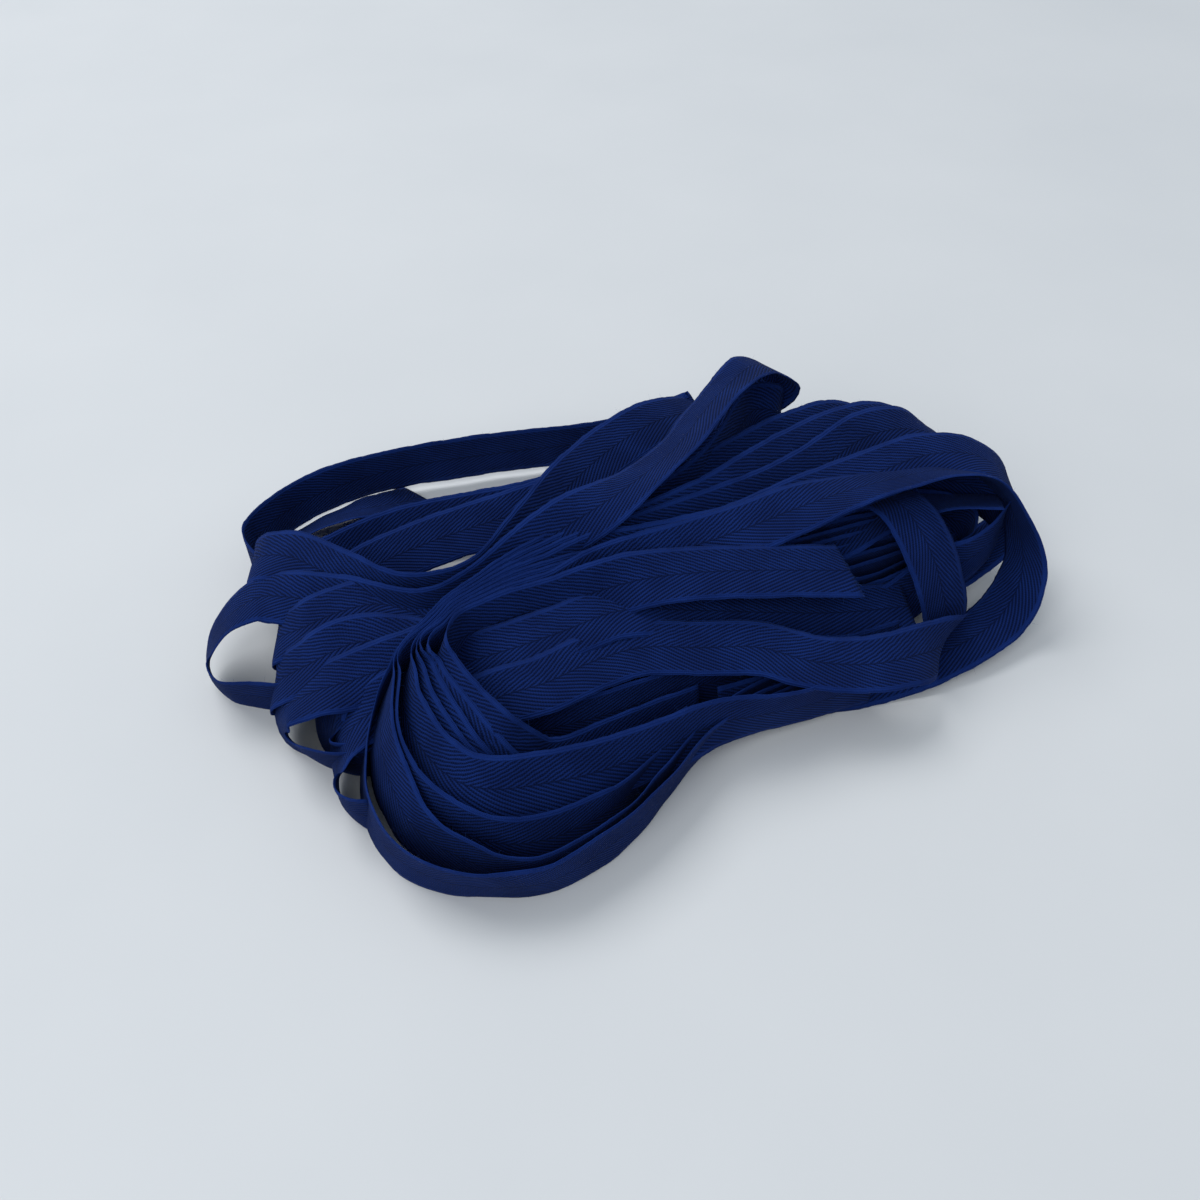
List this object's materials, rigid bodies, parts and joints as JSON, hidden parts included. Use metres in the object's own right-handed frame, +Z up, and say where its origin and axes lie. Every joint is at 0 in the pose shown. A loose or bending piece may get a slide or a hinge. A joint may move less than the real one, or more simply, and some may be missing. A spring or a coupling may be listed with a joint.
{
  "type": "hank of herringbone twill tape",
  "caption": "Loose hank of herringbone twill tape, pinched at its waist, with loops that spread out and one cut end lying on top.",
  "frame": {"origin": "middle of the hank's outline seen from above, at the level of the surface it lies on", "axes": "+Z up, +X along the hank towards its broad loop, -Y towards the fan of loops in front of the waist"},
  "size_m": [0.2764, 0.2057, 0.0647],
  "materials": {
    "tape": "navy blue cotton in a herringbone twill, matt",
    "tape_end": "navy blue cotton in a herringbone twill, matt, with a cut edge"
  },
  "bodies": {
    "root": {"hank": "tape", "loose_end": "tape_end"}
  },
  "joints": []
}
